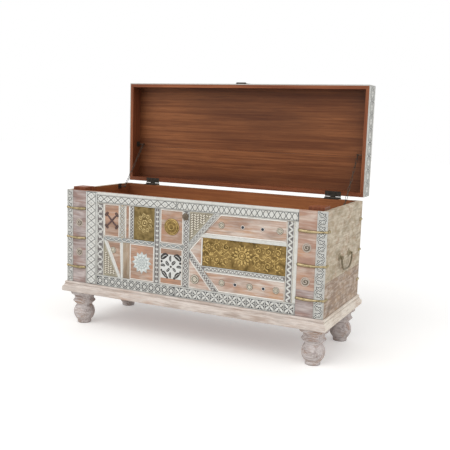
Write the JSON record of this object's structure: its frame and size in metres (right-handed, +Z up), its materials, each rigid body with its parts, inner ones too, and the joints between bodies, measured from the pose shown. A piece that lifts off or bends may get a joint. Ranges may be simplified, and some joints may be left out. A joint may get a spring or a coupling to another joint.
{
  "type": "dowry chest",
  "caption": "Low carved dowry chest with its hinged lid open, turned feet, inlaid front with brass plates, stay chains, hasp and drop handles.",
  "frame": {"origin": "on the floor, under the middle of the box that holds the chest with its lid open", "axes": "+Z up; +X along the front, from its left to its right as seen from in front; +Y from the front to the back, so the carved front faces -Y"},
  "size_m": [1.102, 0.5314, 0.9843],
  "materials": {
    "carved_wood": "carved wood, white wash rubbed off the raised lines over grey recesses",
    "rose_wood": "pinkish bare wood with streaks of white wash",
    "white_wood": "carved wood, painted off-white and worn",
    "washed_wood": "weathered wood under a thin white wash",
    "red_wood": "oiled reddish brown wood, plain grain",
    "brass": "aged brass, embossed and dull",
    "iron": "dark forged iron"
  },
  "bodies": {
    "box": {"back_board": "red_wood", "border_edge": "white_wood", "border_lattice": "carved_wood", "border_scrolls": "carved_wood", "borders_level": "carved_wood", "brass_boss": "brass", "brass_plate_long": "brass", "brass_plate_tall": "brass", "corner_bars": "brass", "corner_planks": "rose_wood", "corner_posts": "red_wood", "corner_rosettes": "white_wood", "corner_strips": "carved_wood", "end_planks_left": "washed_wood", "end_planks_right": "washed_wood", "feet_back": "washed_wood", "feet_front": "washed_wood", "field_rosettes": "white_wood", "floor_board": "red_wood", "foot_blocks": "red_wood", "front_board": "red_wood", "handle_lugs": "iron", "hinge_leaves_box": "iron", "hinge_pins": "iron", "iron_cross": "iron", "panel_reeded": "rose_wood", "panels_carved": "carved_wood", "panels_left": "rose_wood", "panels_right": "rose_wood", "pierced_plate": "white_wood", "plain_beads": "white_wood", "plinth_rails_long": "washed_wood", "plinth_rails_short": "washed_wood", "ring_studs": "white_wood", "staple": "iron", "star_inlay": "white_wood", "stay_studs_box": "iron", "strip_zigzag": "carved_wood", "strips_chevron": "carved_wood", "strips_level": "carved_wood", "strips_upright_long": "carved_wood", "strips_upright_short": "carved_wood"},
    "lid": {"lid_rail_front": "red_wood", "lid_rail_back": "red_wood", "lid_rail_left": "red_wood", "lid_rail_right": "red_wood", "lid_top_planks": "red_wood", "lid_facings": "carved_wood", "hinge_leaves_lid": "iron", "stay_studs_lid": "iron", "hasp_plate": "iron"},
    "hasp": {"hasp_strap": "iron"},
    "handle_left": {"handle_bail_left": "iron"},
    "handle_right": {"handle_bail_right": "iron"},
    "stay_lower_left": {"chain_lower_left": "iron"},
    "stay_lower_right": {"chain_lower_right": "iron"},
    "stay_upper_left": {"chain_upper_left": "iron"},
    "stay_upper_right": {"chain_upper_right": "iron"}
  },
  "joints": [
    {"name": "lid_hinge", "type": "hinge", "parent": "box", "child": "lid", "pos_m": [0, 0.18425, 0.5425], "axis": [1, 0, 0], "range_deg": [0, 90]},
    {"name": "hasp_hinge", "type": "hinge", "parent": "lid", "child": "hasp", "pos_m": [0, 0.18775, 0.9811], "axis": [1, 0, 0], "range_deg": [0, 180]},
    {"name": "handle_left_hinge", "type": "hinge", "parent": "box", "child": "handle_left", "pos_m": [-0.547, -0.03875, 0.366], "axis": [0, 1, 0], "range_deg": [0, 95]},
    {"name": "handle_right_hinge", "type": "hinge", "parent": "box", "child": "handle_right", "pos_m": [0.547, -0.03875, 0.366], "axis": [0, -1, 0], "range_deg": [0, 95]},
    {"name": "stay_lower_left_turn", "type": "hinge", "parent": "box", "child": "stay_lower_left", "pos_m": [-0.491, 0.08425, 0.533], "axis": [1, 0, 0], "range_deg": [0, 160]},
    {"name": "stay_upper_left_turn", "type": "hinge", "parent": "lid", "child": "stay_upper_left", "pos_m": [-0.491, 0.22775, 0.7125], "axis": [1, 0, 0], "range_deg": [-77, 0]},
    {"name": "stay_lower_right_turn", "type": "hinge", "parent": "box", "child": "stay_lower_right", "pos_m": [0.491, 0.08425, 0.533], "axis": [1, 0, 0], "range_deg": [0, 160]},
    {"name": "stay_upper_right_turn", "type": "hinge", "parent": "lid", "child": "stay_upper_right", "pos_m": [0.491, 0.22775, 0.7125], "axis": [1, 0, 0], "range_deg": [-77, 0]}
  ],
  "couplings": [
    {"joint": "stay_lower_left_turn", "follows": "lid_hinge", "ratio": 1.775},
    {"joint": "stay_upper_left_turn", "follows": "lid_hinge", "ratio": -0.85},
    {"joint": "stay_lower_right_turn", "follows": "lid_hinge", "ratio": 1.775},
    {"joint": "stay_upper_right_turn", "follows": "lid_hinge", "ratio": -0.85}
  ]
}
